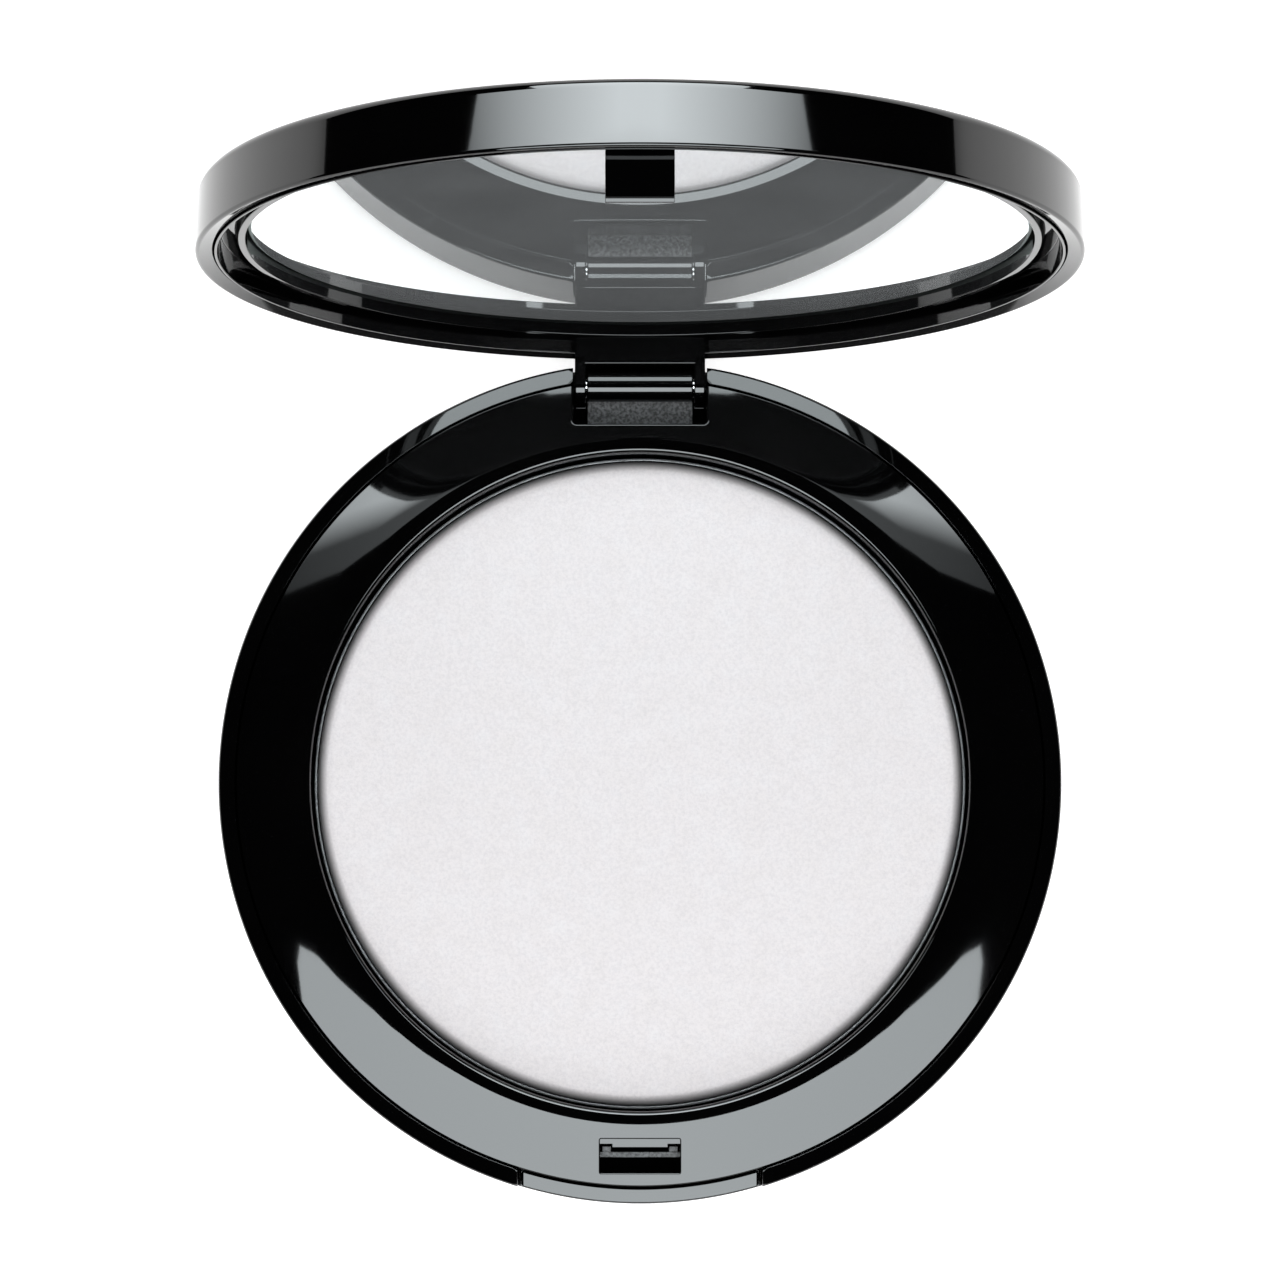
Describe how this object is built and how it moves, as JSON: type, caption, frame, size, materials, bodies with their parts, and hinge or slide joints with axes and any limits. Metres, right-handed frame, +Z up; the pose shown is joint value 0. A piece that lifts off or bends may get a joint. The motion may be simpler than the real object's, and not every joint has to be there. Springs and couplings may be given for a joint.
{
  "type": "powder compact",
  "caption": "Round pressed-powder compact standing open, with a mirrored hinged lid, a metal pan of powder and a front push button.",
  "frame": {"origin": "centre of the base's flat underside, on the surface that the compact stands on", "axes": "+Z up out of the base; +Y from the push button to the hinge; +X to the right, seen from the button's side"},
  "size_m": [0.076, 0.0915, 0.0786],
  "materials": {
    "gloss_black_plastic": "high-gloss black moulded plastic",
    "label_paper": "blank matt film label",
    "adhesive": "translucent double-sided adhesive",
    "foam_tape": "black foam tape",
    "pan_metal": "pressed bright aluminium",
    "pressed_powder": "fine pressed white powder, matt",
    "pin_steel": "drawn steel wire",
    "mirror_glass": "silvered glass"
  },
  "bodies": {
    "base": {"base_shell": "gloss_black_plastic", "base_frame": "gloss_black_plastic", "bottom_label": "label_paper", "pan_adhesive": "adhesive", "powder_pan": "pan_metal", "pressed_powder": "pressed_powder", "hinge_pin": "pin_steel", "button_spring_left": "pin_steel", "button_spring_right": "pin_steel"},
    "lid": {"lid_shell": "gloss_black_plastic", "lid_frame": "gloss_black_plastic", "mirror_tape": "foam_tape", "mirror": "mirror_glass"},
    "button": {"push_button": "gloss_black_plastic"}
  },
  "joints": [
    {"name": "lid_hinge", "type": "hinge", "parent": "base", "child": "lid", "pos_m": [0, 0.036, 0.0055], "axis": [1, 0, 0], "range_deg": [-8, 97]},
    {"name": "button_press", "type": "slide", "parent": "base", "child": "button", "axis": [0, 1, 0], "range_m": [0, 0.0008], "stiffness_N_per_m": 1500, "deforming": ["button_spring_left", "button_spring_right"]}
  ]
}
